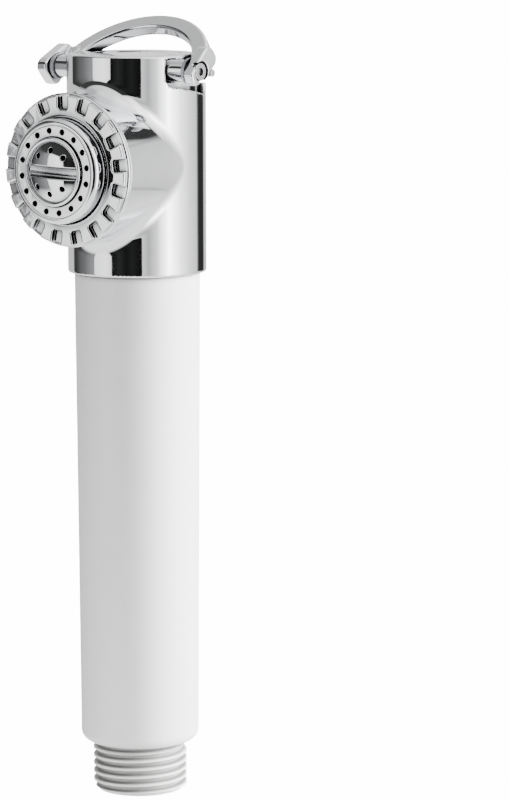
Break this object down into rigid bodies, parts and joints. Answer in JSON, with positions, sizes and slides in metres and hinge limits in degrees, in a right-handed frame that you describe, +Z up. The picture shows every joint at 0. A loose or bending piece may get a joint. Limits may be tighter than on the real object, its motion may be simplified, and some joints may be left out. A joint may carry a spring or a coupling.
{
  "type": "handheld shower head",
  "caption": "Handheld shower head: white tube handle with threaded inlet, chrome head with arch lever valve and notched spray nozzle.",
  "frame": {"origin": "centre of the first turn of the hose thread", "axes": "+Z up the handle, -Y out of the nozzle, +X to the right seen from the nozzle side"},
  "size_m": [0.0424, 0.0468, 0.173],
  "materials": {
    "white_plastic": "satin moulded white",
    "inlet_plastic": "satin moulded white",
    "poppet_plastic": "satin",
    "chrome": "polished",
    "core_chrome": "polished",
    "lever_chrome": "polished",
    "nozzle_chrome": "polished",
    "brass": "machined",
    "steel": "machined",
    "rubber": "matt",
    "ceramic": "lapped",
    "grey_plastic": "moulded"
  },
  "bodies": {
    "handset": {"inlet_nipple": "inlet_plastic", "inlet_strainer": "steel", "check_valve_body": "grey_plastic", "check_valve_spring": "steel", "check_valve_oring": "rubber", "flow_limiter": "grey_plastic", "handle_shell": "white_plastic", "water_tube": "brass", "tube_orings": "rubber", "valve_body": "core_chrome", "head_casing": "chrome", "stop_pins": "steel", "fixed_disc": "ceramic", "disc_seal": "rubber", "stem_packing": "rubber", "gland_nut": "brass", "spindle_orings": "rubber", "spindle_bushes": "core_chrome", "top_cap": "core_chrome", "top_cap_oring": "rubber", "seal_ring": "rubber", "nozzle_body": "brass", "nozzle_oring": "rubber", "distributor": "grey_plastic", "distributor_screw": "steel", "face_oring": "rubber", "centre_insert": "nozzle_chrome", "insert_oring": "rubber"},
    "lever": {"lever_arch": "lever_chrome", "lever_screws": "steel", "spindle": "steel", "drive_crank": "steel", "pivot_washers": "grey_plastic"},
    "valve": {"valve_stem": "brass", "moving_disc": "ceramic"},
    "selector": {"selector_ring": "nozzle_chrome", "spray_plate": "nozzle_chrome"},
    "check_poppet": {"check_valve_poppet": "poppet_plastic"}
  },
  "joints": [
    {"name": "lever_swing", "type": "hinge", "parent": "handset", "child": "lever", "pos_m": [0, -0.0045, 0.1608], "axis": [1, 0, 0], "range_deg": [0, 44]},
    {"name": "valve_turn", "type": "hinge", "parent": "handset", "child": "valve", "pos_m": [0, -0.0036, 0.1285], "axis": [0, 0, 1], "range_deg": [0, 58.74]},
    {"name": "selector_turn", "type": "hinge", "parent": "handset", "child": "selector", "pos_m": [0, -0.025, 0.14], "axis": [0, -1, 0], "range_deg": [0, 45]},
    {"name": "check_lift", "type": "slide", "parent": "handset", "child": "check_poppet", "axis": [0, 0, 1], "range_m": [0, 0.002], "stiffness_N_per_m": 60, "springref_m": -0.002, "deforming": ["check_valve_spring"]}
  ],
  "couplings": [
    {"joint": "valve_turn", "follows": "lever_swing", "ratio": 1.3349}
  ]
}
